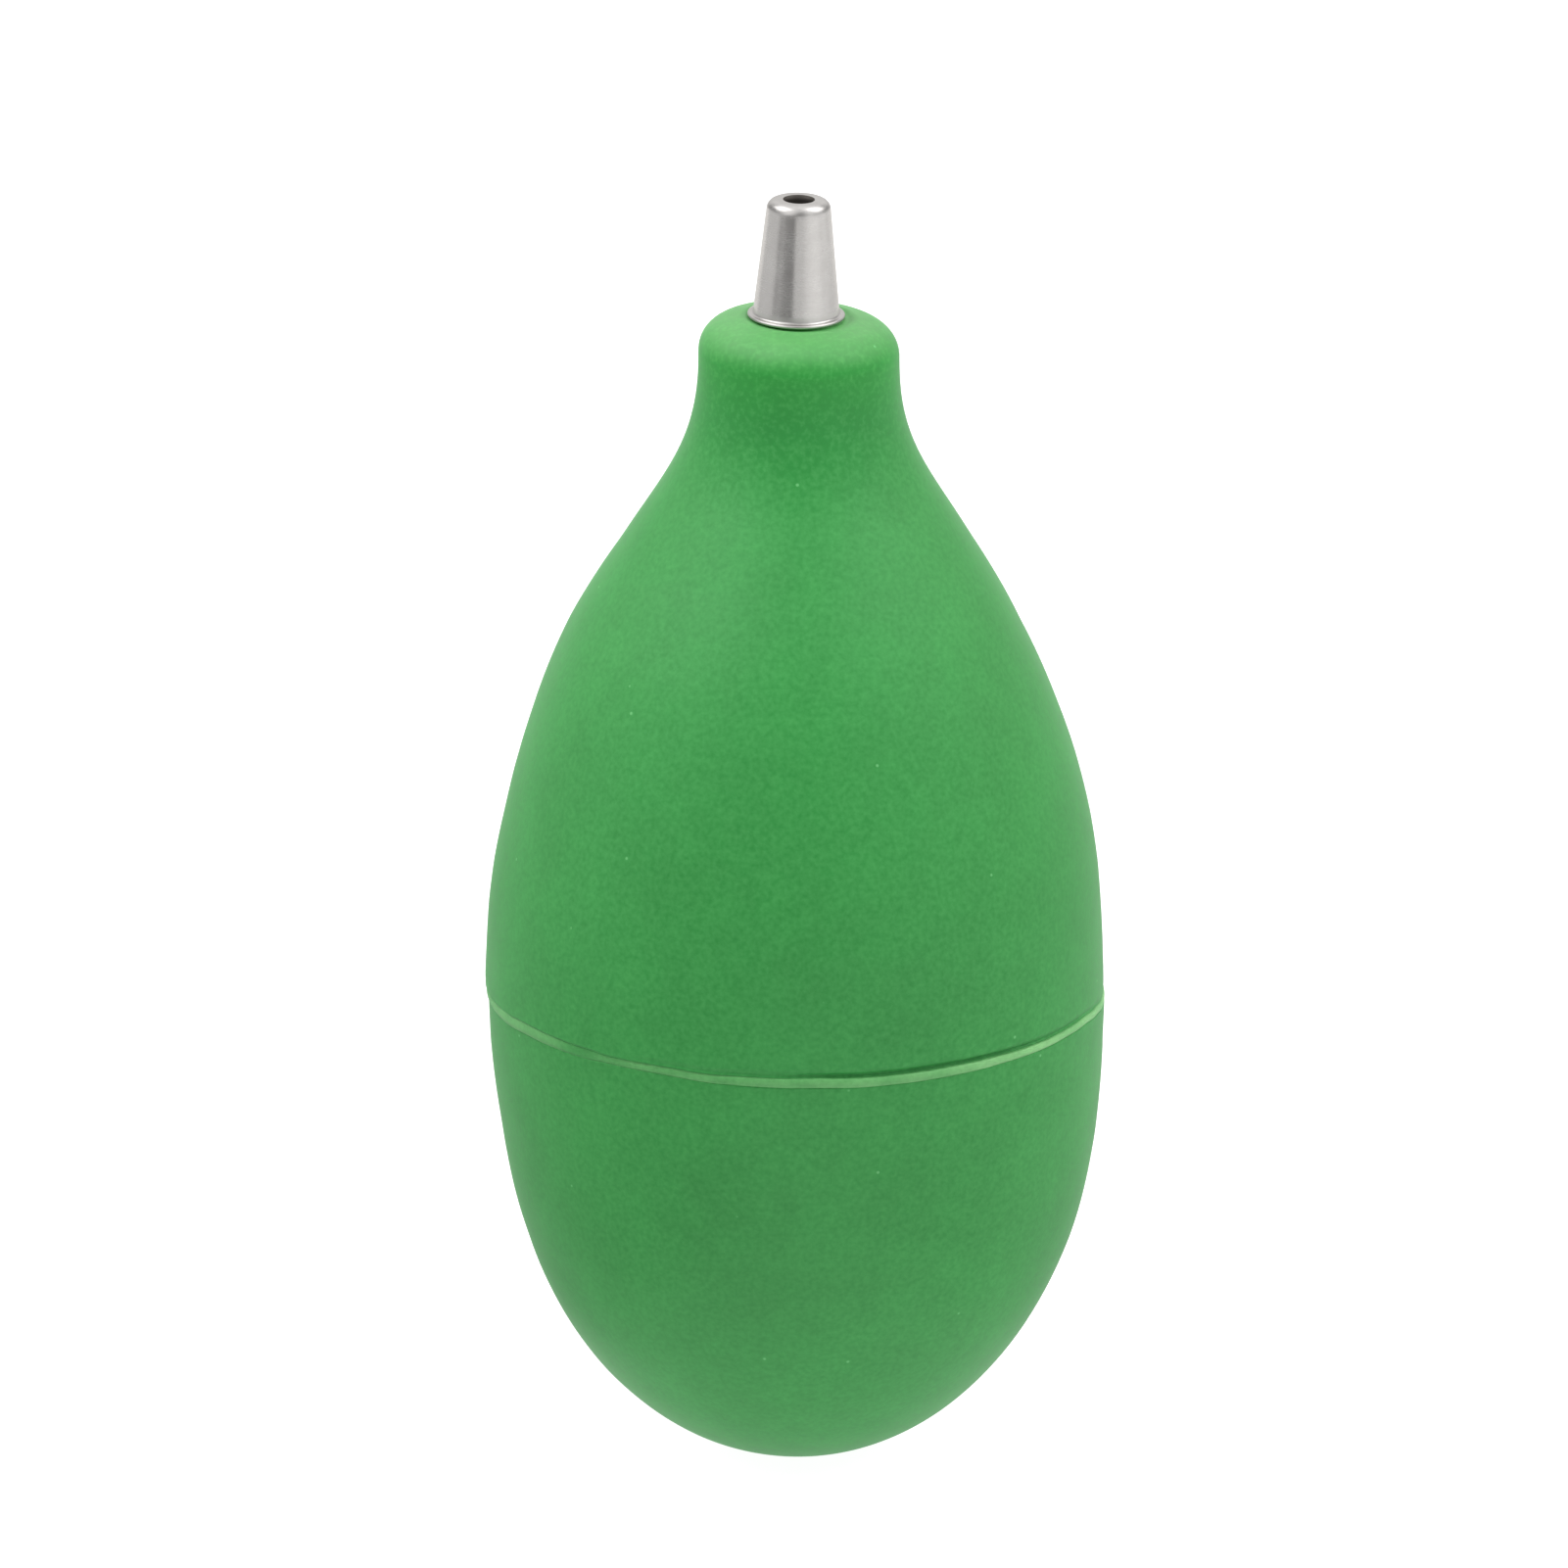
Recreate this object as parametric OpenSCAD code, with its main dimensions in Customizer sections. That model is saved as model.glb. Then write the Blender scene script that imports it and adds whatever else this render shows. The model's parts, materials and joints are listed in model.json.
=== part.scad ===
// Rubber squeeze bulb with a push-in metal nozzle.
// The origin is the middle of the flat base, and +Z points out of the nozzle. Millimetres.

/* [Bulb] */
// Largest diameter of the bulb, at the seam
bulb_d = 50; // [46:0.5:56]
// Largest diameter of the lower half, which is moulded a little smaller
lower_d = 49.6; // [45:0.1:56]
// Height of the seam above the base
seam_z = 38.8; // [37:0.1:39.2]
// Depth below the seam at which the egg curve of the lower half would close
egg_depth = 39.8; // [39.6:0.1:44]
// Thickness of the rubber wall
wall_t = 2.5; // [1.5:0.1:3]
// Thickness of the rubber at the base
base_t = 3.6; // [2.5:0.1:6]
// Depth of the shallow dish inside the resting ring
dish_t = 0.5; // [0.2:0.1:1]

/* [Neck] */
// Height of the neck's top face above the base
neck_z = 95.1; // [93:0.1:100]
// Outside diameter of the neck
neck_d = 16.2; // [15:0.1:18]
// Length of the neck's straight stretch
neck_straight = 1.3; // [0.6:0.1:3]
// Radius of the rounding round the top of the neck
neck_edge_r = 2.6; // [1.5:0.1:3]
// How far the neck's top falls from the seat to the rounding
neck_dome = 0.35; // [0.1:0.05:0.8]
// Length of the bore that holds the nozzle
neck_bore_l = 11.5; // [10:0.5:12]

/* [Shoulder] */
// Diameter at which the hollow throat turns into the round shoulder
turn_d = 28.2; // [26:0.2:32]
// Height of that turn above the seam
turn_h = 37.4; // [35:0.1:39]
// Steepness of the surface at the turn, in degrees from level
turn_slope = 58.5; // [50:0.5:65]

/* [Bond] */
// Thickness of the rubber cement between the two halves
bond_t = 0.3; // [0.2:0.05:0.5]
// Height of the bead that the cement leaves round the seam
bead_h = 0.7; // [0.5:0.05:1]
// How far the bead stands proud of the rubber
bead_proud = 0.1; // [0.05:0.05:0.3]

/* [Nozzle] */
// Length of the nozzle above the neck
nozzle_l = 9.7; // [8:0.1:14]
// Outside diameter of the cone at the tip, before rounding
tip_d = 5; // [4.6:0.1:5.4]
// Outside diameter of the cone at the flange
cone_d = 7; // [6.4:0.1:7]
// Radius of the rounding round the tip
tip_edge_r = 0.8; // [0.3:0.05:0.85]
// Diameter of the flange that rests on the neck
flange_d = 7.8; // [7.8:0.1:8.4]
// Thickness of the flange's lip
flange_t = 0.3; // [0.2:0.05:0.5]
// Diameter of the hole in the tip
tip_bore_d = 2.5; // [1.6:0.1:2.6]
// Length of that hole
tip_bore_l = 4; // [3:0.5:6]
// Diameter of the wider bore behind it
back_bore_d = 3.8; // [3:0.1:4]
// Length of the stem inside the neck
stem_l = 13; // [12.5:0.5:14]
// Diameter over the crests of the stem's rings
stem_d = 7; // [6.6:0.1:7.2]
// Depth of the grooves between those rings
ring_depth = 0.45; // [0.3:0.05:0.6]
// Number of rings on the stem
ring_count = 3; // [2:1:4]

/* [Hidden] */
$fn = 144;

green = [0.25, 0.60, 0.30];
pale_green = [0.42, 0.72, 0.45];
steel = [0.76, 0.75, 0.74];

bulb_r = bulb_d / 2;
lower_r = lower_d / 2;
neck_r = neck_d / 2;
tip_z = neck_z + nozzle_l;
seat_rim = 0.1;                     // how far the level seat reaches beyond the flange
seat_r = flange_d / 2 + seat_rim;
stem_clear = 0.05;                  // radial gap between a ring's crest and the neck's bore
bore_r = stem_d / 2 + stem_clear;
egg_power = 1.22;                   // makes the lower half fuller than an ellipse
round_start = 80;                   // where the dome of the neck meets its rounding, in degrees

// How far the upper outline's curves run on along their end directions before they bend
throat_run = 6.2;
turn_run_up = 6.5;
turn_run_down = 3.7;
seam_run = 22;

// Number of steps in each curve
throat_steps = 10;
shoulder_steps = 20;
egg_steps = 22;
arc_steps = 8;

// A cubic curve through four control points, and its direction.
function curve(p, t) =
    pow(1 - t, 3) * p[0] + 3 * pow(1 - t, 2) * t * p[1] + 3 * (1 - t) * t * t * p[2] + pow(t, 3) * p[3];
function curve_dir(p, t) =
    pow(1 - t, 2) * (p[1] - p[0]) + 2 * (1 - t) * t * (p[2] - p[1]) + t * t * (p[3] - p[2]);
// The point of the curve at t, moved by depth towards the bulb's inside.
function curve_in(p, t, depth) =
    let(d = curve_dir(p, t) / norm(curve_dir(p, t)))
    curve(p, t) + depth * [d[1], -d[0]];
// Points of a circle's arc.
function arc(centre, r, from, to, steps) =
    [for (i = [0:steps]) let(a = from + (to - from) * i / steps) centre + r * [cos(a), sin(a)]];

// The upper half's outline: a straight neck, a hollow throat, then a round shoulder to the seam.
turn = [turn_d / 2, seam_z + turn_h];
turn_dir = [cos(turn_slope), -sin(turn_slope)];
rounding_c = [neck_r - neck_edge_r, neck_z - neck_dome - neck_edge_r * sin(round_start)];
throat_top = [neck_r, rounding_c[1] - neck_straight];
throat = [throat_top, throat_top - [0, throat_run], turn - turn_run_up * turn_dir, turn];
shoulder = [turn, turn + turn_run_down * turn_dir, [bulb_r, seam_z + seam_run], [bulb_r, seam_z]];
upper_edge = seam_z + bond_t / 2;
lower_edge = seam_z - bond_t / 2;

// The cavity follows the shoulder at wall_t and closes round the nozzle's bore.
cavity_share = 0.12;                // share of the shoulder above which the cavity closes
roof_run_up = [2.2, 0];             // how the roof leaves the bore, and how it meets the cavity's side
roof_run_down = [1.6, -2.6];
cavity_from = curve_in(shoulder, cavity_share, wall_t);
bore_end = [bore_r, neck_z - neck_bore_l];
cavity_roof = [bore_end, bore_end + roof_run_up, cavity_from - roof_run_down, cavity_from];

// The lower half's outline: the cosine of a gives the radius, and its sine the depth.
function egg(r, depth, a) = [r * cos(a), seam_z - depth * pow(sin(a), 1 / egg_power)];
base_angle = asin(pow(seam_z / egg_depth, egg_power));
base_r = lower_r * cos(base_angle);
dish_share = 0.6;                   // radius of the dish as a share of the base's
dish_r = base_r * dish_share;
inner_depth = seam_z - base_t;
edge_angle = 1;                     // the egg curve starts just below the seam's edge

module upper_shell() {
    outer = concat(
        [[seat_r, neck_z]],
        arc(rounding_c, neck_edge_r, round_start, 0, arc_steps),
        [for (i = [0:throat_steps]) curve(throat, i / throat_steps)],
        [for (i = [1:shoulder_steps - 1]) curve(shoulder, i / shoulder_steps)],
        [[bulb_r, upper_edge]]
    );
    inner = concat(
        [[bulb_r - wall_t, upper_edge]],
        [for (i = [shoulder_steps - 1:-1:1])
            let(t = cavity_share + (1 - cavity_share) * i / shoulder_steps)
            curve_in(shoulder, t, wall_t)],
        [for (i = [arc_steps:-1:0]) curve(cavity_roof, i / arc_steps)],
        [[bore_r, neck_z]]
    );
    color(green) rotate_extrude() polygon(concat(outer, inner));
}

module lower_shell() {
    outer = concat(
        [[lower_r, lower_edge]],
        [for (i = [0:egg_steps])
            egg(lower_r, egg_depth, edge_angle + (base_angle - edge_angle) * i / egg_steps)],
        [[dish_r, 0], [dish_r - dish_t, dish_t], [0, dish_t]]
    );
    inner = concat(
        [[0, base_t]],
        [for (i = [egg_steps - 1:-1:0])
            egg(lower_r - wall_t, inner_depth, edge_angle + (90 - edge_angle) * i / egg_steps)],
        [[lower_r - wall_t, lower_edge]]
    );
    color(green) rotate_extrude() polygon(concat(outer, inner));
}

// The layer of cement between the halves. Its outer bead bridges their radii, and a small one lies inside.
module bond_seam() {
    outer_bead = [for (i = [0:arc_steps]) let(t = i / arc_steps)
        [lower_r + (bulb_r - lower_r) * t + bead_proud * sin(180 * t), seam_z + bead_h * (t - 0.5)]];
    color(pale_green) rotate_extrude() polygon(concat(
        [[lower_r - wall_t, lower_edge], [lower_r, lower_edge]],
        outer_bead,
        [[bulb_r, upper_edge], [bulb_r - wall_t, upper_edge], [lower_r - wall_t - bead_proud, seam_z]]
    ));
}

// One turned piece: rounded tip, cone, thin flange, and a stem with rings that grip the rubber.
module nozzle() {
    cone_tan = (cone_d - tip_d) / 2 / nozzle_l;
    cone_angle = atan(cone_tan);
    edge_z = tip_z - tip_edge_r;
    // Centre of the tip's rounding, so that its arc runs into the cone
    edge_c = [tip_d / 2 + cone_tan * tip_edge_r - tip_edge_r / cos(cone_angle), edge_z];
    fillet_r = 0.2;
    fillet_z = neck_z + flange_t + fillet_r;
    fillet_c = [cone_d / 2 - cone_tan * (fillet_z - neck_z) + fillet_r / cos(cone_angle), fillet_z];
    groove_r = stem_d / 2 - ring_depth;
    first_ring = 1.2;
    ring_rise = 0.4;
    ring_land = 0.8;
    ring_gap = 0.3;
    ring_pitch = (stem_l - first_ring - ring_gap) / ring_count;
    lead_in = 0.6;
    bore_edge = 0.12;
    tip_bore_r = tip_bore_d / 2;
    back_bore_r = back_bore_d / 2;
    drill_end = tip_z - tip_bore_l;
    drill_slope = 0.6;
    drill_cone = (back_bore_r - tip_bore_r) * drill_slope;
    outline = concat(
        [[tip_bore_r, tip_z - bore_edge], [tip_bore_r + bore_edge, tip_z]],
        arc(edge_c, tip_edge_r, 90, cone_angle, arc_steps),
        arc(fillet_c, fillet_r, 180 + cone_angle, 270, arc_steps),
        arc([flange_d / 2 - flange_t / 2, neck_z + flange_t / 2], flange_t / 2, 90, -90, arc_steps),
        [[groove_r, neck_z]],
        [for (i = [0:ring_count - 1]) let(z = neck_z - first_ring - i * ring_pitch)
            each [
                [groove_r, z],
                [stem_d / 2, z - ring_rise],
                [stem_d / 2, z - ring_rise - ring_land],
                [groove_r, z - ring_pitch + ring_gap]
            ]],
        [[groove_r, neck_z - stem_l + lead_in], [groove_r - lead_in / 2, neck_z - stem_l]],
        [[back_bore_r, neck_z - stem_l], [back_bore_r, drill_end - drill_cone], [tip_bore_r, drill_end]]
    );
    color(steel) rotate_extrude() polygon(outline);
}

upper_shell();
lower_shell();
bond_seam();
nozzle();
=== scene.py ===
"""Rubber squeeze bulb with a turned metal nozzle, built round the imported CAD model.

In metres and in the CAD model's frame: +Z points out of the nozzle, and the front faces -Y.
"""
import json
import math

import bpy
import numpy as np
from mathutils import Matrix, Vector, noise


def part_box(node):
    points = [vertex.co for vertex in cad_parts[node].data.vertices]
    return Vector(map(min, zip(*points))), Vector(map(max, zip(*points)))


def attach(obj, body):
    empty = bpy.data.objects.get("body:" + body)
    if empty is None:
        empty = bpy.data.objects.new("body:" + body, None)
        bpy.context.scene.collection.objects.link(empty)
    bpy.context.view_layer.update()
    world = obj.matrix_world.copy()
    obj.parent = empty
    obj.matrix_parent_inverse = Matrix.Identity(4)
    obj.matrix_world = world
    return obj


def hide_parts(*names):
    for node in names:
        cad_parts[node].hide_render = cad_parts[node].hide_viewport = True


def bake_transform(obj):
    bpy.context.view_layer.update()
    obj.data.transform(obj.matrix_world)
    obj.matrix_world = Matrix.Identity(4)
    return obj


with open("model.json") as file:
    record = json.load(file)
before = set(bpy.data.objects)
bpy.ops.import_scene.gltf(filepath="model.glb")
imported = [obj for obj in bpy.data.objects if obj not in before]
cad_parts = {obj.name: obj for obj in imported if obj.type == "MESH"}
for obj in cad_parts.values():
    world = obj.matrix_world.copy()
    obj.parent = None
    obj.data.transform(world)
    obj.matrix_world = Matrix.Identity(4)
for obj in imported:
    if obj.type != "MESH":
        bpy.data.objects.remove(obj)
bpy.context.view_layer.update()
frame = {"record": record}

MM = 0.001

# ---------------------------------------------------------------- places and sizes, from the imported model

MOUNTS = {m["name"]: m for m in frame["record"]["mounts"]}
_, UPPER_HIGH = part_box("upper_shell")
_, LOWER_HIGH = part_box("lower_shell")
BOND_LOW, BOND_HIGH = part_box("bond_seam")
NOZZLE_LOW, NOZZLE_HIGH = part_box("nozzle")

BULB_R = UPPER_HIGH.x
LOWER_R = LOWER_HIGH.x
SEAM_Z = (BOND_LOW.z + BOND_HIGH.z) / 2
NECK_Z = UPPER_HIGH.z
NECK_R = MOUNTS["neck_ring"]["dims"]["r_mm"] * MM
NECK_STRAIGHT = MOUNTS["neck_ring"]["dims"]["length_mm"] * MM
TIP_Z = NOZZLE_HIGH.z
STEM_END_Z = NOZZLE_LOW.z
FLANGE_R = NOZZLE_HIGH.x
TIP_BORE_R = MOUNTS["tip_hole"]["dims"]["r_mm"] * MM

# The shapes between those places, as in the CAD model unless the comment says otherwise
WALL = 2.5 * MM
BASE_T = 3.6 * MM
DISH_T = 0.5 * MM
DISH_SHARE = 0.6                    # radius of the dish as a share of the base's
EGG_DEPTH = SEAM_Z + 0.93 * MM      # 0.07 mm less than in the CAD model, which makes the base a little wider
EGG_POWER = 1.22
TURN = np.array([14.1 * MM, SEAM_Z + 37.4 * MM])
TURN_SLOPE = math.radians(58.5)
THROAT_RUN = 6.2 * MM
TURN_RUN_UP = 6.5 * MM
TURN_RUN_DOWN = 3.7 * MM
SEAM_RUN = 22 * MM
CAVITY_SHARE = 0.12                 # share of the shoulder above which the cavity closes
ROOF_RUN_UP = [2.2 * MM, 0]
ROOF_RUN_DOWN = [-1.6 * MM, 2.6 * MM]
NECK_EDGE_R = 2.6 * MM
NECK_ROUNDER = 0.3 * MM             # how much rounder than that the moulding came out
NECK_DOME = 0.35 * MM
ROUND_START = math.radians(80)
STEM_BORE_R = 3.55 * MM
STEM_BORE_L = 11.5 * MM
TIP_BORE_L = 4 * MM
BACK_BORE_R = 1.9 * MM

AROUND = 360                        # columns of the rubber and its bead
NOZZLE_AROUND = 240                 # columns of the nozzle
FINE = 0.08 * MM                    # row spacing at the seam
FINE_REACH = 1.8 * MM               # how far above and below the seam the rows are fine
COARSE = 0.6 * MM                   # row spacing elsewhere on the outside
INSIDE = 1.2 * MM                   # row spacing inside the bulb
NOZZLE_ROWS = 0.4 * MM              # row spacing on the nozzle


# ---------------------------------------------------------------- outlines: lists of (radius, height)

def curve(p, t):
    """The point at t of a cubic curve through four control points."""
    return ((1 - t) ** 3 * p[0] + 3 * (1 - t) ** 2 * t * p[1]
            + 3 * (1 - t) * t ** 2 * p[2] + t ** 3 * p[3])


def curve_in(p, t, depth):
    """The same point moved by depth towards the inside of the bulb."""
    step = 1e-4
    d = curve(p, min(t + step, 1)) - curve(p, max(t - step, 0))
    d = d / np.linalg.norm(d)
    return curve(p, t) + depth * np.array([d[1], -d[0]])


def arc(centre, r, start, end, steps):
    """Points of a circle's arc, with its angles in radians."""
    angles = np.linspace(start, end, steps)
    return [np.array(centre) + r * np.array([math.cos(a), math.sin(a)]) for a in angles]


def resample(points, spacing):
    """The same line with its points spaced evenly, by a spacing that may depend on the height."""
    points = np.array(points, float)
    out = [points[0]]
    for a, b in zip(points[:-1], points[1:]):
        gap = spacing((a[1] + b[1]) / 2)
        steps = max(1, math.ceil(np.linalg.norm(b - a) / gap))
        out += [a + (b - a) * i / steps for i in range(1, steps + 1)]
    return out


def row_gap(z):
    """Fine rows near the seam, coarse ones elsewhere."""
    return FINE if abs(z - SEAM_Z) < FINE_REACH else COARSE


turn_dir = np.array([math.cos(TURN_SLOPE), -math.sin(TURN_SLOPE)])
ROUND_R = NECK_EDGE_R + NECK_ROUNDER
ROUND_C = np.array([NECK_R - ROUND_R, NECK_Z - NECK_DOME - ROUND_R * math.sin(ROUND_START)])
THROAT_TOP = np.array([NECK_R, ROUND_C[1] + NECK_ROUNDER - NECK_STRAIGHT])
THROAT = [THROAT_TOP, THROAT_TOP - [0, THROAT_RUN], TURN - TURN_RUN_UP * turn_dir, TURN]
SHOULDER = [TURN, TURN + TURN_RUN_DOWN * turn_dir,
            np.array([BULB_R, SEAM_Z + SEAM_RUN]), np.array([BULB_R, SEAM_Z])]


def egg(r, depth, a):
    """A point of the lower half's curve: the cosine of a gives the radius, and its sine the depth."""
    return np.array([r * math.cos(a), SEAM_Z - depth * math.sin(a) ** (1 / EGG_POWER)])


def upper_outline():
    """Outside from the seat to the seam, then up the inside and the neck's bore."""
    # a shallow groove that the flange has pressed into the rubber round its lip
    pressed = [(-0.7, 0.0), (-0.45, -0.08), (-0.15, -0.16), (0.1, -0.17), (0.28, -0.12), (0.5, -0.03)]
    outer = [np.array([FLANGE_R + out * MM, NECK_Z + up * MM]) for out, up in pressed]
    outer += arc(ROUND_C, ROUND_R, ROUND_START, 0, 16)
    outer += [curve(THROAT, t) for t in np.linspace(0, 1, 28)]
    outer += [curve(SHOULDER, t) for t in np.linspace(0, 1, 100)[1:]]
    roof_end = curve_in(SHOULDER, CAVITY_SHARE, WALL)
    bore_end = np.array([STEM_BORE_R, NECK_Z - STEM_BORE_L])
    roof = [bore_end, bore_end + ROOF_RUN_UP, roof_end + ROOF_RUN_DOWN, roof_end]
    inner = [curve_in(SHOULDER, t, WALL) for t in np.linspace(1, CAVITY_SHARE, 40)]
    inner += [curve(roof, t) for t in np.linspace(1, 0, 12)[1:]]
    lip = 0.15 * MM
    inner += [np.array([STEM_BORE_R, NECK_Z - lip]), np.array([STEM_BORE_R + lip, NECK_Z])]
    return resample(outer, row_gap), resample(inner, lambda z: INSIDE)


def lower_outline():
    """Outside from the seam to the middle of the base, then the inside back up to the seam."""
    base_angle = math.asin((SEAM_Z / EGG_DEPTH) ** EGG_POWER)
    outer = [egg(LOWER_R, EGG_DEPTH, a) for a in np.linspace(0, base_angle, 160)]
    outer[-1][1] = 0
    dish_r = outer[-1][0] * DISH_SHARE
    outer += [np.array([dish_r, 0]), np.array([dish_r - DISH_T, DISH_T]), np.array([0, DISH_T])]
    inner = [egg(LOWER_R - WALL, SEAM_Z - BASE_T, a) for a in np.linspace(math.pi / 2, 0, 40)]
    inner[0][0] = 0
    return resample(outer, row_gap), resample(inner, lambda z: INSIDE)


def nozzle_outline():
    """A closed line: the hole's edge, rounded tip, cone, fillet, flange, ringed stem, then up the bore."""
    cone_tip, cone_foot = 2.5 * MM, 3.5 * MM
    edge_r, fillet_r, flange_t = 0.8 * MM, 0.2 * MM, 0.3 * MM
    length = TIP_Z - NECK_Z
    slope = (cone_foot - cone_tip) / length
    angle = math.atan(slope)
    edge_c = [cone_tip + slope * edge_r - edge_r / math.cos(angle), TIP_Z - edge_r]
    fillet_z = NECK_Z + flange_t + fillet_r
    fillet_c = [cone_foot - slope * (fillet_z - NECK_Z) + fillet_r / math.cos(angle), fillet_z]
    lip_c = [FLANGE_R - flange_t / 2, NECK_Z + flange_t / 2]
    bore_edge = 0.05 * MM
    line = arc([TIP_BORE_R + bore_edge, TIP_Z - bore_edge], bore_edge, math.pi, math.pi / 2, 5)
    line += arc(edge_c, edge_r, math.pi / 2, angle, 20)
    line += arc(fillet_c, fillet_r, math.pi + angle, 1.5 * math.pi, 12)
    line += arc(lip_c, flange_t / 2, math.pi / 2, -math.pi / 2, 12)
    # the stem: saw-tooth rings, steep above and sloping below, so that they go in easily and hold
    crest, root, rings = 3.5 * MM, 3.05 * MM, 3
    first_ring, ring_rise, ring_land, ring_gap = 1.2 * MM, 0.4 * MM, 1.2 * MM, 0.3 * MM
    pitch = (NECK_Z - STEM_END_Z - (first_ring + ring_gap)) / rings
    line.append(np.array([root, NECK_Z]))
    for i in range(rings):
        z = NECK_Z - first_ring - i * pitch
        for r, drop in ((root, 0), (crest, ring_rise), (crest, ring_land), (root, pitch - ring_gap)):
            line.append(np.array([r, z - drop]))
    drill_z = TIP_Z - TIP_BORE_L
    drill_slope = 0.6
    drill_cone = (BACK_BORE_R - TIP_BORE_R) * drill_slope
    lead_in = 0.6 * MM
    line += [np.array(p) for p in (
        (root, STEM_END_Z + lead_in), (root - lead_in / 2, STEM_END_Z), (BACK_BORE_R, STEM_END_Z),
        (BACK_BORE_R, drill_z - drill_cone), (TIP_BORE_R, drill_z), (TIP_BORE_R, TIP_Z - bore_edge))]
    return resample(line, lambda z: NOZZLE_ROWS)


# ---------------------------------------------------------------- the seam's hand-made look

def around(keys, angle):
    """A smooth value round the bulb. keys are (degrees, value) in order; 0 is +X and -90 faces the front."""
    turns = [k[0] for k in keys]
    a = (angle - turns[0]) % 360 + turns[0]
    ends = turns + [turns[0] + 360]
    values = [k[1] for k in keys] + [keys[0][1]]
    i = max(j for j in range(len(turns)) if ends[j] <= a)
    t = (a - ends[i]) / (ends[i + 1] - ends[i])
    t = t * t * (3 - 2 * t)
    return values[i] * (1 - t) + values[i + 1] * t


# How far the seam wanders up from its level, in mm
WANDER = [(-180, -0.3), (-169, -0.1), (-160, 0.08), (-148, 0.38), (-136, 0.38), (-128, 0.42), (-117, 0.43),
          (-104, 0.2), (-90, 0.12), (-75, -0.02), (-50, -0.07), (-35, -0.14), (-22, -0.2), (-14, -0.5),
          (-7, -0.85), (15, -0.8), (50, -0.1), (95, -0.2), (140, 0.1)]
# How wide the bead is, as a share of its usual width
WIDTH = [(-180, 1.25), (-150, 1.35), (-132, 1.35), (-127, 1.0), (-118, 1.0), (-100, 1.1), (-70, 1.04),
         (-35, 0.8), (20, 0.9), (80, 0.85), (130, 1.15)]
# How proud the bead stands, as a share of the most
PROUD = [(-180, 0.75), (-150, 0.7), (-130, 0.3), (-115, 0.7), (-85, 0.85), (-50, 1.0), (0, 0.9), (60, 0.7),
         (120, 0.9)]
# How pale the bead is: 0 is the bulb's green
PALE = [(-180, 0.28), (-160, 0.45), (-145, 0.38), (-133, 0.08), (-127, 0.28), (-118, 0.38), (-100, 0.36),
        (-80, 0.52), (-72, 0.58), (-65, 0.55), (-50, 0.9), (-40, 1.0), (-10, 0.85), (25, 0.5), (70, 0.35),
        (120, 0.65), (150, 0.32)]
# How deep the crease above the bead is, as a share of the deepest
CREASE = [(-180, 0.1), (-150, 0.0), (-125, 0.0), (-112, 0.2), (-95, 0.4), (-80, 0.9), (-60, 1.0),
          (-50, 0.95), (-30, 0.5), (0, 0.15), (60, 0.7), (120, 0.3)]

BEAD_HALF = 0.4 * MM                # half the usual height of the bead
BEAD_PROUD = 0.1 * MM
BEAD_UNEVEN = 0.03 * MM             # how far the bead waves up and down by itself
TUCK = 0.35 * MM                    # how far the halves' edges stay back behind the bead
TUCK_ABOVE = (0.7, 1.05)            # where each half comes out again, in halves of the bead's height
TUCK_BELOW = (0.55, 0.95)
SWELL = 0.1 * MM                    # how far the lower half swells towards the seam
SWELL_REACH = 3 * MM
CREASE_DEPTH = 0.45 * MM
CREASE_ABOVE = 0.2 * MM             # from the bead's upper edge to the bottom of the crease
CREASE_WIDTH = 0.23 * MM
WANDER_REACH = 5 * MM               # how far above and below the seam the rubber follows its wandering

# How far the soft bulb leans towards +X, as (height, shift) in mm
LEAN = [(0, 0.05), (7, 0.0), (18, 0.2), (27, 0.13), (35, -0.05)]
LEAN_ABOVE = [(38, -0.24), (46, -0.17), (53, 0.0), (58, 0.0), (69, -0.22), (76, -0.02), (82, 0.06),
              (90, 0.12)]
# How much fuller than its outline the moulding came out, as (height, extra radius) in mm
FULL = [(20, 0.0), (28, -0.07), (34, 0.02), (42, 0.0), (49, 0.08), (55, 0.0), (62, -0.05), (70, 0.0),
        (87, 0.0), (89.9, -0.03), (91.8, -0.065), (93.4, 0.0)]
NOZZLE_TILT = math.radians(1.3)     # the nozzle's lean towards +X
NOZZLE_OFF = -0.1 * MM              # and its place beside the axis
NECK_TILT = math.radians(2.0)       # how far the neck's top slopes down towards +X
TILT_FROM, TILT_TO = NECK_Z - 9 * MM, NECK_Z - 1 * MM
LUMPS = [(0.05 * MM, 16 * MM, 1), (0.015 * MM, 4 * MM, 2)]   # the moulding's unevenness: depth, size, seed


def bell(x, width):
    """1 at x = 0, falling smoothly to 0 over about twice the width."""
    return np.exp(-(x / width) ** 2)


def ramp(x, low, high):
    """0 up to low, 1 from high on, and smooth between."""
    t = np.clip((x - low) / (high - low), 0, 1)
    return t * t * (3 - 2 * t)


def uneven(points, scale, seed):
    """Smooth seeded noise from about -1 to 1 at each point; scale is the size of its lumps in metres."""
    shift = Vector((seed * 17.3, seed * 5.1, seed * 9.7))
    return np.array([noise.noise(Vector(p) / scale + shift) for p in points]) * 1.6


# ---------------------------------------------------------------- meshes

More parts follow.
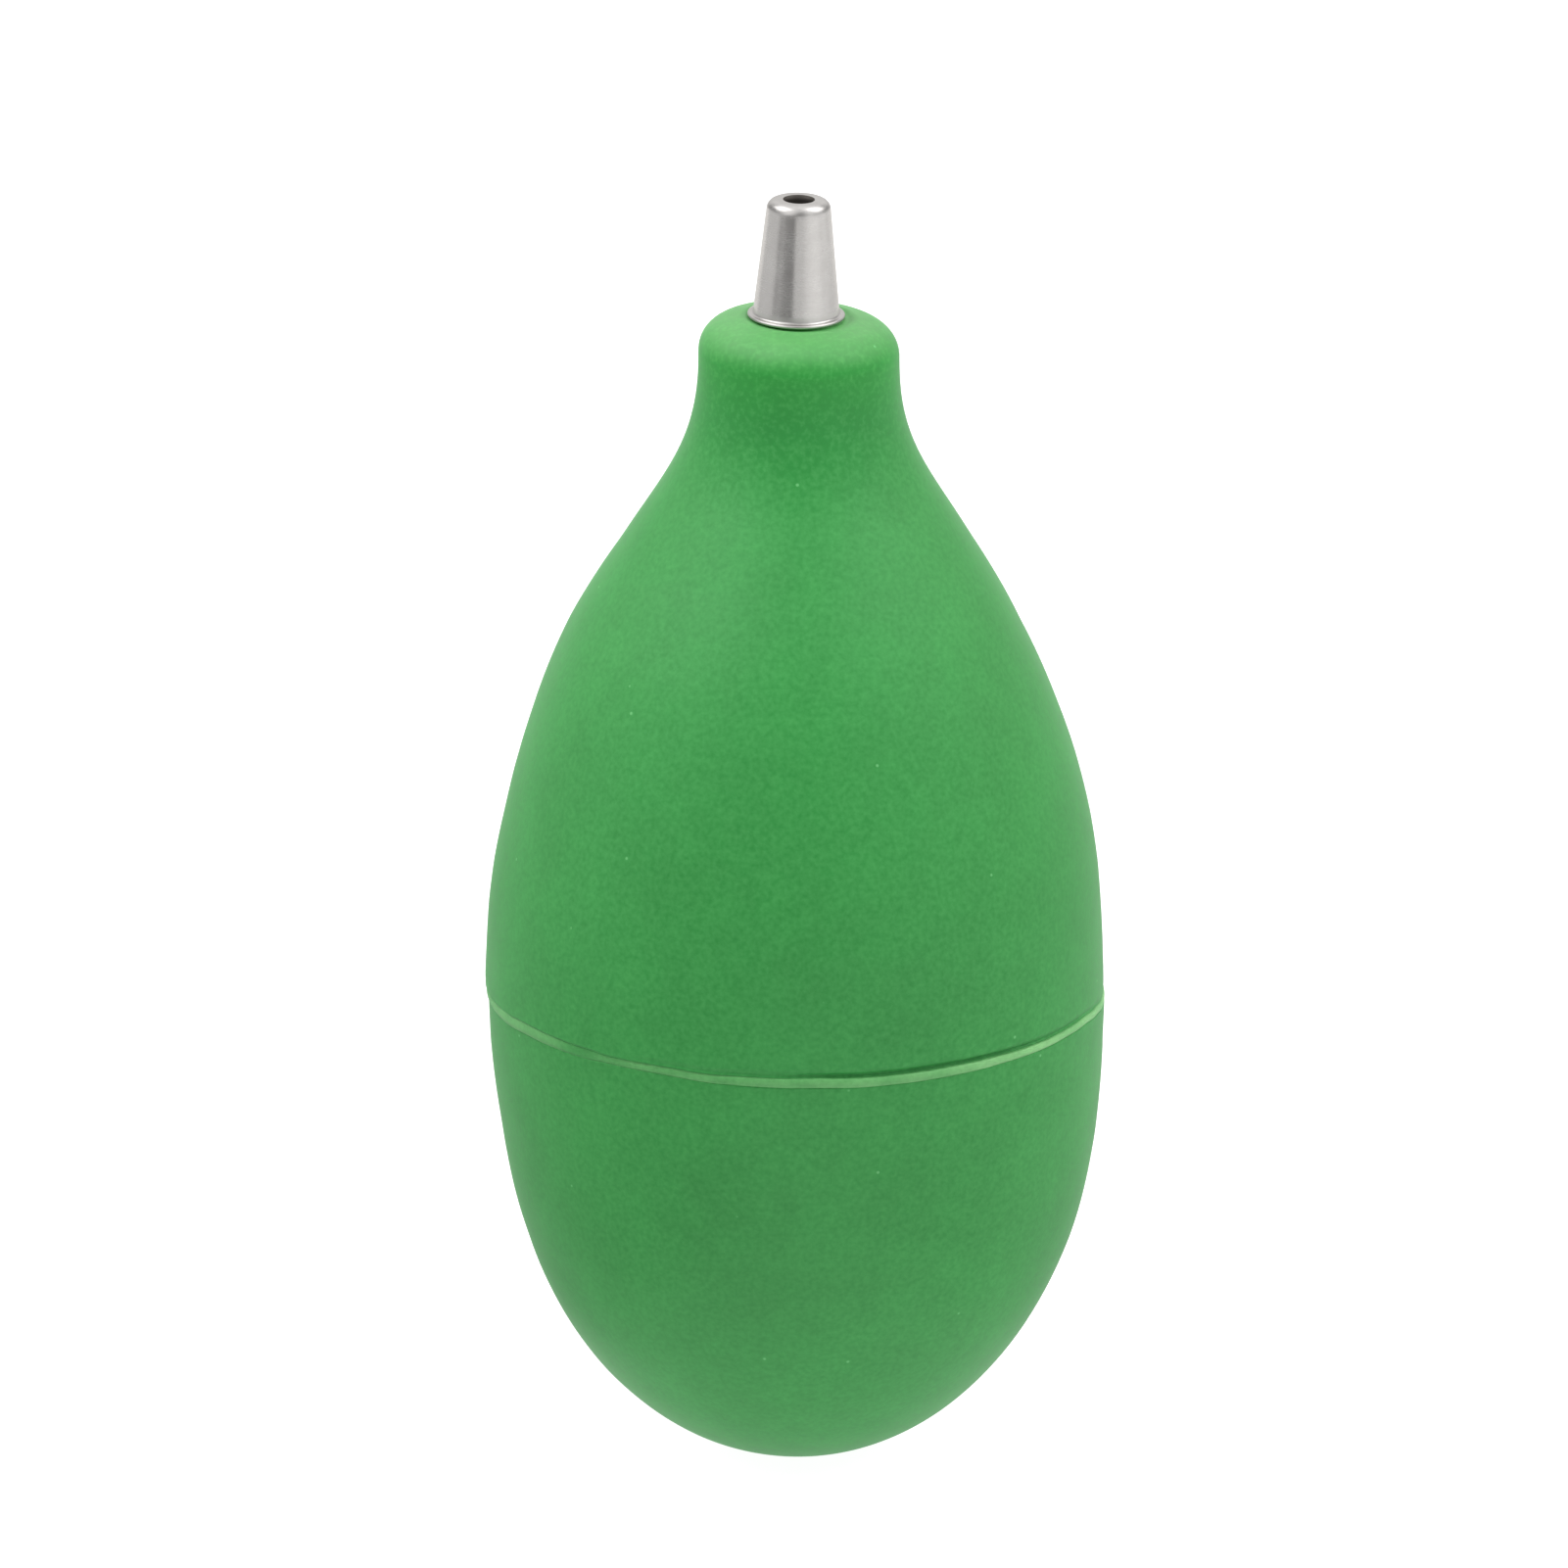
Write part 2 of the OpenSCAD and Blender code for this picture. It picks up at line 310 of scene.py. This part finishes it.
def turned(name, rings, closed, columns=AROUND):
    """A smooth mesh turned about Z from rows of (radius, height). A row of radius 0 becomes one point.
    closed joins the last row to the first."""
    angles = np.linspace(0, 2 * math.pi, columns, endpoint=False)
    verts, rows = [], []
    for r, z in rings:
        if r < 1e-7:
            rows.append([len(verts)])
            verts.append((0, 0, z))
        else:
            rows.append(list(range(len(verts), len(verts) + columns)))
            verts += [(r * math.cos(a), r * math.sin(a), z) for a in angles]
    faces = []
    for a, b in zip(rows, rows[1:] + rows[:1] if closed else rows[1:]):
        for i in range(columns):
            j = (i + 1) % columns
            if len(a) == 1 and len(b) == 1:
                continue
            if len(a) == 1:
                faces.append((a[0], b[i], b[j]))
            elif len(b) == 1:
                faces.append((a[i], b[0], a[j]))
            else:
                faces.append((a[i], b[i], b[j], a[j]))
    mesh = bpy.data.meshes.new(name)
    mesh.from_pydata(verts, [], faces)
    mesh.update()
    mesh.shade_smooth()
    ob = bpy.data.objects.new(name, mesh)
    bpy.context.scene.collection.objects.link(ob)
    return ob


def positions(ob):
    return np.array([v.co for v in ob.data.vertices], float).reshape(-1, 3)


def set_positions(ob, co):
    ob.data.vertices.foreach_set("co", co.astype(np.float32).ravel())
    ob.data.update()


def remember_rest(ob):
    """Keeps each point's place at rest, so that the rubber's grain moves with the rubber."""
    layer = ob.data.attributes.new("rest", "FLOAT_VECTOR", "POINT")
    layer.data.foreach_set("vector", positions(ob).astype(np.float32).ravel())


def angles_of(co):
    return np.degrees(np.arctan2(co[:, 1], co[:, 0]))


def seam_values(keys, angles):
    """around() for many angles, worked out once for each column."""
    columns = [round(a, 3) for a in angles]
    table = {}
    for column, a in zip(columns, angles):
        if column not in table:
            table[column] = around(keys, a)
    return np.array([table[column] for column in columns])


def push_out(co, by):
    """Moves each point away from the axis."""
    r = np.hypot(co[:, 0], co[:, 1])
    out = co.copy()
    safe = np.maximum(r, 1e-9)
    out[:, 0] += co[:, 0] / safe * by * (r > 1e-6)
    out[:, 1] += co[:, 1] / safe * by * (r > 1e-6)
    return out


def by_height(heights, keys):
    """The value at each height, in metres."""
    return MM * np.interp(heights / MM, [k[0] for k in keys], [k[1] for k in keys])


def rubber_half(name, outer, inner, above):
    """One half of the bulb, with the slight unevenness of moulded rubber outside. above says which half."""
    ob = turned(name, outer + inner, closed=above)
    co = positions(ob)
    outside = np.arange(len(co)) < len(outer) * AROUND
    angle = angles_of(co)
    height = co[:, 2] - SEAM_Z
    lumps = sum(depth * uneven(co, size, seed) for depth, size, seed in LUMPS)
    # the nozzle's seat and the base stay true
    fades = np.clip((NECK_Z - 1 * MM - co[:, 2]) / (6 * MM), 0, 1) * np.clip(co[:, 2] / (4 * MM), 0, 1)
    edge = BEAD_HALF * seam_values(WIDTH, angle)
    by = lumps * fades + by_height(co[:, 2], FULL)
    if above:
        crease = seam_values(CREASE, angle)
        by -= TUCK * (0.5 + 0.5 * crease) * (1 - ramp(height / edge, *TUCK_ABOVE))
        by -= CREASE_DEPTH * crease * bell(height - edge - CREASE_ABOVE, CREASE_WIDTH)
    else:
        by += SWELL * bell(height, SWELL_REACH) - TUCK * (1 - ramp(-height / edge, *TUCK_BELOW))
    moved = push_out(co, by * outside)
    moved[:, 0] += by_height(co[:, 2], LEAN_ABOVE if above else LEAN)
    moved[:, 2] += MM * seam_values(WANDER, angle) * bell(height, WANDER_REACH)
    moved[:, 2] -= math.tan(NECK_TILT) * co[:, 0] * ramp(co[:, 2], TILT_FROM, TILT_TO)
    set_positions(ob, moved)
    return ob


# The bead's closed outline as (out, up) from the seam, in mm: a softly rounded face, and edges that go in
# behind the halves
BEAD_SECTION = [(-0.7, 0.30), (-0.45, 0.40), (-0.28, 0.42), (-0.16, 0.395), (-0.08, 0.33), (-0.03, 0.24),
                (0.0, 0.13), (0.015, 0.0), (0.01, -0.12), (-0.02, -0.23), (-0.07, -0.32), (-0.15, -0.39),
                (-0.28, -0.43), (-0.7, -0.36)]


def seam_bead(name):
    """The raised line of cement. Its "pale" attribute says how pale it is at each point."""
    rows = [(BULB_R + out * MM, SEAM_Z + up * MM) for out, up in BEAD_SECTION]
    ob = turned(name, rows, closed=True)
    co = positions(ob)
    angle = angles_of(co)
    width, proud = seam_values(WIDTH, angle), seam_values(PROUD, angle)
    out = np.hypot(co[:, 0], co[:, 1]) - BULB_R
    up = co[:, 2] - SEAM_Z
    ripple = 1 + 0.12 * uneven(co, 2.2 * MM, 3)
    moved = push_out(co, BEAD_PROUD * (proud * ripple - 1) * ramp(out, -0.4 * MM, 0))
    moved[:, 0] += (by_height(SEAM_Z, LEAN) + by_height(SEAM_Z, LEAN_ABOVE)) / 2
    moved[:, 2] = SEAM_Z + up * width + MM * seam_values(WANDER, angle)
    moved[:, 2] += BEAD_UNEVEN * uneven(co, 3 * MM, 4)
    set_positions(ob, moved)
    edges = 1 - 0.4 * ramp(np.abs(up), 0.3 * MM, 0.42 * MM)
    pale = seam_values(PALE, angle) * edges * (1 + 0.25 * uneven(co, 2.5 * MM, 5))
    layer = ob.data.attributes.new("pale", "FLOAT", "POINT")
    layer.data.foreach_set("value", np.clip(pale, 0, 1).astype(np.float32))
    return ob


def set_nozzle(name):
    """The nozzle, as it was pushed in: slightly aslant above the seat, and straight inside the neck."""
    ob = turned(name, nozzle_outline(), closed=True, columns=NOZZLE_AROUND)
    remember_rest(ob)
    co = positions(ob)
    above = ramp(co[:, 2], NECK_Z - 1 * MM, NECK_Z)
    moved = co.copy()
    moved[:, 0] += above * ((co[:, 2] - NECK_Z) * math.tan(NOZZLE_TILT) + NOZZLE_OFF)
    moved[:, 2] -= above * co[:, 0] * math.tan(NOZZLE_TILT)
    set_positions(ob, moved)
    return ob


# ---------------------------------------------------------------- materials

class Shader:
    """A material under construction: its Principled shader, and short ways to add and join nodes."""

    def __init__(self, name):
        self.material = bpy.data.materials.new(name)
        self.material.use_nodes = True
        self.tree = self.material.node_tree
        self.out = self.tree.nodes["Principled BSDF"]

    def add(self, kind, settings=None, **inputs):
        made = self.tree.nodes.new(kind)
        for key, value in (settings or {}).items():
            setattr(made, key, value)
        for key, value in inputs.items():
            self.put(made.inputs[key.replace("_", " ")], value)
        return made

    def put(self, socket, value):
        if isinstance(value, bpy.types.NodeSocket):
            self.tree.links.new(value, socket)
        else:
            socket.default_value = value

    def set(self, **inputs):
        for key, value in inputs.items():
            self.put(self.out.inputs[key.replace("_", " ")], value)

    def span(self, value, low, high, start=0.0, end=1.0):
        """low where value is start, high where it is end, and even and clamped between."""
        made = self.add("ShaderNodeMapRange", Value=value, From_Min=start, From_Max=end,
                        To_Min=low, To_Max=high)
        return made.outputs["Result"]

    def noise(self, where, size, detail=2.0, rough=0.5):
        """Noise whose lumps are about size metres across."""
        made = self.add("ShaderNodeTexNoise", Vector=where, Scale=1 / size, Detail=detail, Roughness=rough)
        return made.outputs["Fac"]

    def mix(self, factor, a, b, how="MIX"):
        made = self.add("ShaderNodeMix", {"data_type": "RGBA", "blend_type": how})
        self.put(made.inputs[0], factor)
        self.put(made.inputs[6], a)
        self.put(made.inputs[7], b)
        return made.outputs[2]

    def math(self, how, a, b):
        made = self.add("ShaderNodeMath", {"operation": how})
        self.put(made.inputs[0], a)
        self.put(made.inputs[1], b)
        return made.outputs[0]

    def rest(self):
        """Each point's place at rest, and its height there."""
        where = self.add("ShaderNodeAttribute", {"attribute_name": "rest"}).outputs["Vector"]
        return where, self.add("ShaderNodeSeparateXYZ", Vector=where).outputs["Z"]


# The rubber's colours, linear. The green wanders between the first two
DEEP, LIGHT = (0.006, 0.206, 0.025, 1), (0.012, 0.247, 0.034, 1)
SPECK = (0.15, 0.50, 0.18, 1)
DUST = (0.38, 0.70, 0.36, 1)        # the pale side of the grain
PAINTED_SHEEN = (0.50, 0.53, 0.39, 1)       # painted sheen: the pale colour laid over the neck's top, where light from above would show
PAINTED_NECK_LIGHT = (0.98, 1.14, 0.9, 1)      # painted light: what the neck's green is multiplied by below the painted sheen, brighter and purer where the lamps leave it short
PALEST = (0.17, 0.44, 0.155, 1)     # the bead where its pale value is 1

# The metal's
DARK_STEEL, BRIGHT_STEEL = (0.47, 0.455, 0.44, 1), (0.62, 0.605, 0.59, 1)
# painted shade for the walls of the tip's hole
BORE_SHADE = (0.12, 0.11, 0.10, 1)
STEEL_EDGE = (0.72, 0.71, 0.70, 1)  # its reflection at a glancing angle


def rubber(name, palest=None):
    """Matte moulded rubber: soft blotches, a fine powdery grain, a few pale specks, a painted sheen over the
    neck's top and painted light that makes the neck's green brighter and purer below it. palest is the
    colour where the mesh's pale value is 1."""
    s = Shader(name)
    where, height = s.rest()
    blotch = s.noise(where, 9 * MM, 3.0, 0.55)
    cloud = s.noise(where, 2.2 * MM, 2.0, 0.5)
    grain = s.noise(where, 0.42 * MM, 2.0, 0.5)
    pores = s.noise(where, 0.12 * MM, 2.0, 0.5)
    patch = s.math("ADD", s.math("MULTIPLY", blotch, 0.7), s.math("MULTIPLY", cloud, 0.3))
    colour = s.mix(s.span(patch, 0.0, 1.0, 0.3, 0.7), DEEP, LIGHT)
    if palest:
        pale = s.add("ShaderNodeAttribute", {"attribute_name": "pale"}).outputs["Fac"]
        colour = s.mix(pale, colour, palest)
    shade = s.span(grain, 0.92, 1.08, 0.25, 0.75)
    grey = s.add("ShaderNodeCombineXYZ", X=shade, Y=shade, Z=shade).outputs[0]
    colour = s.mix(1.0, colour, grey, "MULTIPLY")
    # there is less dust on the neck
    sparse = s.span(height, 0.25, 0.46, NECK_Z - 15 * MM, NECK_Z - 7 * MM)
    colour = s.mix(s.span(grain, 0.0, 0.055, sparse, 0.75), colour, DUST)
    # painted light: below its top the neck's green is made brighter and purer
    neck_light = s.span(height, 0.0, 1.0, NECK_Z - 7 * MM, NECK_Z - 3 * MM)
    colour = s.mix(neck_light, colour, PAINTED_NECK_LIGHT, "MULTIPLY")
    # painted sheen: the neck's top turns paler towards the seat, as a highlight from above would
    painted_sheen = s.span(height, 0.0, 0.125, NECK_Z - 2.6 * MM, NECK_Z - 0.4 * MM)
    colour = s.mix(s.math("MULTIPLY", painted_sheen, s.span(cloud, 0.6, 1.3)), colour, PAINTED_SHEEN)
    # specks, in about a fifth of the cells
    dots = s.add("ShaderNodeTexVoronoi", Vector=where, Scale=1 / (2.2 * MM))
    near = s.span(dots.outputs["Distance"], 0.55, 0.0, 0.035, 0.075)
    pick = s.add("ShaderNodeSeparateColor", Color=dots.outputs["Color"]).outputs["Red"]
    few = s.math("GREATER_THAN", pick, 0.78)
    colour = s.mix(s.math("MULTIPLY", near, few), colour, SPECK)
    relief = s.math("ADD", s.math("MULTIPLY", grain, 0.7), s.math("MULTIPLY", pores, 0.3))
    bump = s.add("ShaderNodeBump", Strength=0.36, Distance=0.03 * MM, Height=relief)
    s.set(Base_Color=colour, Roughness=s.span(grain, 0.50, 0.66), Normal=bump.outputs["Normal"],
          Specular_IOR_Level=0.45, Sheen_Weight=0.05, Sheen_Roughness=0.4, Sheen_Tint=(0.8, 1.0, 0.8, 1))
    return s.material


def turned_steel(name):
    """Satin stainless steel: fine rings left by turning, faint stains, and painted shade: the walls of the
    hole painted nearly black.
    """
    s = Shader(name)
    where, height = s.rest()
    ring = s.add("ShaderNodeMapping", Vector=where, Scale=(0.02, 0.02, 1.0)).outputs["Vector"]
    lines = s.noise(ring, 0.05 * MM, 2.0, 0.6)
    stain = s.noise(where, 1.6 * MM, 3.0, 0.6)
    colour = s.mix(stain, DARK_STEEL, BRIGHT_STEEL)
    flat = s.add("ShaderNodeVectorMath", {"operation": "MULTIPLY"})
    s.put(flat.inputs[0], where)
    s.put(flat.inputs[1], (1, 1, 0))
    size = s.add("ShaderNodeVectorMath", {"operation": "LENGTH"}, Vector=flat.outputs["Vector"])
    # painted shade: the walls of the hole are painted nearly black, as shade in it
    inside = s.span(size.outputs["Value"], 1.0, 0.0, TIP_BORE_R + 0.01 * MM, TIP_BORE_R + 0.04 * MM)
    colour = s.mix(inside, colour, BORE_SHADE)
    bump = s.add("ShaderNodeBump", Strength=0.13, Distance=0.006 * MM, Height=lines)
    rough = s.math("ADD", s.span(lines, 0.20, 0.30), s.span(stain, -0.03, 0.05))
    # handling has dulled the rounded tip and the flange
    from_middle = s.math("ABSOLUTE", s.math("SUBTRACT", height, (NECK_Z + TIP_Z) / 2), 0.0)
    worn = s.span(from_middle, 0.0, 0.08, 3.9 * MM, 4.3 * MM)
    rough = s.math("ADD", s.math("ADD", rough, worn), s.math("MULTIPLY", inside, 0.3))
    s.set(Base_Color=colour, Metallic=1.0, Roughness=rough, Normal=bump.outputs["Normal"],
          Specular_Tint=STEEL_EDGE)
    return s.material


def paint(ob, material):
    ob.data.materials.clear()
    ob.data.materials.append(material)


# ---------------------------------------------------------------- the object

GREEN = rubber("bulb_rubber")
PALE_GREEN = rubber("bond_rubber", palest=PALEST)
STEEL = turned_steel("nozzle_steel")

upper = rubber_half("upper_skin", *upper_outline(), above=True)
remember_rest(upper)
paint(upper, GREEN)
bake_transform(upper)
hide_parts("upper_shell")

lower = rubber_half("lower_skin", *lower_outline(), above=False)
remember_rest(lower)
paint(lower, GREEN)
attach(lower, "base")
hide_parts("lower_shell")

bead = seam_bead("seam_bead")
remember_rest(bead)
paint(bead, PALE_GREEN)
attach(bead, "base")
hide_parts("bond_seam")

tip = set_nozzle("turned_nozzle")
paint(tip, STEEL)
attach(tip, "nozzle")
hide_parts("nozzle")


# ---------------------------------------------------------------- studio

def plain(name, colour, roughness, glow):
    """A flat material that glows white by itself."""
    s = Shader(name)
    s.set(Base_Color=(*colour, 1), Roughness=roughness, Emission_Color=(1, 1, 1, 1), Emission_Strength=glow)
    return s.material


def sheet(name, corners, material):
    """A four-cornered sheet that isn't part of the object."""
    mesh = bpy.data.meshes.new(name)
    mesh.from_pydata(corners, [], [(0, 1, 2, 3)])
    mesh.materials.append(material)
    ob = bpy.data.objects.new(name, mesh)
    bpy.context.scene.collection.objects.link(ob)
    return ob


def soft_light(name, place, target, size, brightness, tint=(1, 1, 1)):
    """A soft box of that brightness (radiance) and size, aimed at target."""
    light = bpy.data.lights.new(name, "AREA")
    light.shape = "RECTANGLE"
    light.size, light.size_y = size
    light.energy = brightness * math.pi * size[0] * size[1]
    light.color = tint
    ob = bpy.data.objects.new(name, light)
    ob.location = place
    ob.rotation_euler = (Vector(target) - Vector(place)).to_track_quat("-Z", "Y").to_euler()
    ob.visible_camera = False
    bpy.context.scene.collection.objects.link(ob)
    return ob


FAR = 3.0                           # from the middle of the floor to its edge
floor = sheet("floor", [(-FAR, -FAR, 0), (FAR, -FAR, 0), (FAR, FAR, 0), (-FAR, FAR, 0)],
              plain("floor_paper", (0.2, 0.2, 0.2), 0.8, glow=0.96))

world = bpy.data.worlds.new("studio")
world.use_nodes = True
world.node_tree.nodes["Background"].inputs["Color"].default_value = (1, 1, 1, 1)
world.node_tree.nodes["Background"].inputs["Strength"].default_value = 0.3
bpy.context.scene.world = world

MIDDLE = (0, 0, 0.055)
NOZZLE_MIDDLE = (0, 0, 0.1)
top_left = soft_light("top_left_box", (-0.62, -0.36, 1.3), MIDDLE, (0.5, 1.3), 4.9)
top_right = soft_light("top_right_box", (0.62, -0.36, 1.3), MIDDLE, (0.5, 1.3), 4.2)
soft_light("left_box", (-0.95, 0.05, 1.35), MIDDLE, (1.2, 1.2), 2.55)
soft_light("right_box", (1.0, 0.05, 1.2), MIDDLE, (1.2, 1.2), 2.02)
low_left = soft_light("low_left_box", (-1.15, 0.3, 0.65), MIDDLE, (0.9, 0.9), 1.5, tint=(1, 0.98, 0.9))
low_right = soft_light("low_right_box", (1.15, 0.3, 0.6), MIDDLE, (0.9, 0.9), 1.1, tint=(1, 0.96, 0.84))
soft_light("back_box", (0, 1.5, 0.6), MIDDLE, (2.4, 1.2), 0.7)
rim = soft_light("rim_box", (0, 1.5, 0.6), MIDDLE, (2.4, 1.2), 3.2, tint=(1, 0.94, 0.85))
metal_left = soft_light("metal_left_box", (-0.49, -0.59, 0.74), NOZZLE_MIDDLE, (1.0, 1.7), 0.6)
metal_right = soft_light("metal_right_box", (0.72, -0.26, 0.74), NOZZLE_MIDDLE, (1.29, 1.7), 0.42)


def light_only(name, lights, receivers):
    """Makes those lights reach the receivers and nothing else."""
    sees = bpy.data.collections.new(name)
    for ob in receivers:
        sees.objects.link(ob)
    for light in lights:
        light.light_linking.receiver_collection = sees


# The strong boxes are flagged off the metal, which would mirror them as plain white. It has a dimmer pair
light_only("strong_boxes_see", (rim, top_left, top_right, low_left, low_right), (upper, lower, bead, floor))
light_only("metal_boxes_see", (metal_left, metal_right), (tip,))


def standing(left, right, high):
    """Corners of an upright card between two points of the floor."""
    return [(*right, 0), (*left, 0), (*left, high), (*right, high)]


def lying(left, right, front, back):
    """Corners of a card that lies just above the floor."""
    above = 1 * MM
    return [(left, front, above), (right, front, above), (right, back, above), (left, back, above)]


# Cards that the camera doesn't see, with how bright each is. The first three give the metal its dark streak,
# the flags stand for a duller floor, and the others fill the gloss of the rubber from above, behind and in
# front. They show only as reflections, but for left_flag, which also lights the object a little
CARDS = {
    "dark_card": (standing((-0.28, -0.28), (-0.075, -0.44), 0.12), 0.20),
    "dim_card": (standing((-0.407, -0.167), (-0.28, -0.28), 0.12), 0.38),
    "grey_card": (standing((-0.40, 0.30), (-0.407, -0.167), 0.12), 0.84),
    "overhead_card": ([(-0.9, -0.1, 1.6), (0.9, -0.1, 1.6), (0.9, 1.7, 1.5), (-0.9, 1.7, 1.5)], 1.1),
    "back_card": ([(-0.9, 1.7, 0.4), (0.9, 1.7, 0.4), (0.9, 1.7, 1.5), (-0.9, 1.7, 1.5)], 0.45),
    "left_flag": (lying(-0.6, -0.026, -0.15, 0.3), 0.76),
    "right_flag": (lying(0.026, 0.6, -0.15, 0.3), 0.9),
    "front_flag": (lying(-0.15, 0.15, -0.5, -0.19), 0.5),
    "front_left_card": ([(-1.2, -0.9, 0.1), (-0.2, -0.9, 0.1), (-0.2, -0.9, 1.2), (-1.2, -0.9, 1.2)], 0.7),
    "front_right_card": ([(0.4, -0.9, 0.1), (1.2, -0.9, 0.1), (1.2, -0.9, 1.2), (0.4, -0.9, 1.2)], 0.7),
}
for name, (corners, glow) in CARDS.items():
    card = sheet(name, corners, plain(name, (0, 0, 0), 1, glow))
    card.visible_camera = False
    card.visible_diffuse = name == "left_flag"
    card.visible_shadow = False
    card.visible_transmission = False

ELEVATION = math.radians(18.5)
DISTANCE = 1.3
LENS = 370.4
LOOK_AT = Vector((-1.07 * MM, 0, 55.7 * MM))
camera = bpy.data.objects.new("camera", bpy.data.cameras.new("camera"))
camera.data.lens = LENS
camera.data.sensor_width = 36
camera.data.clip_start = 0.05
camera.data.clip_end = 20
towards = Vector((0, math.cos(ELEVATION), -math.sin(ELEVATION)))
camera.location = LOOK_AT - DISTANCE * towards
camera.rotation_euler = towards.to_track_quat("-Z", "Y").to_euler()
bpy.context.scene.collection.objects.link(camera)
bpy.context.scene.camera = camera
bpy.context.scene.view_settings.view_transform = "Standard"
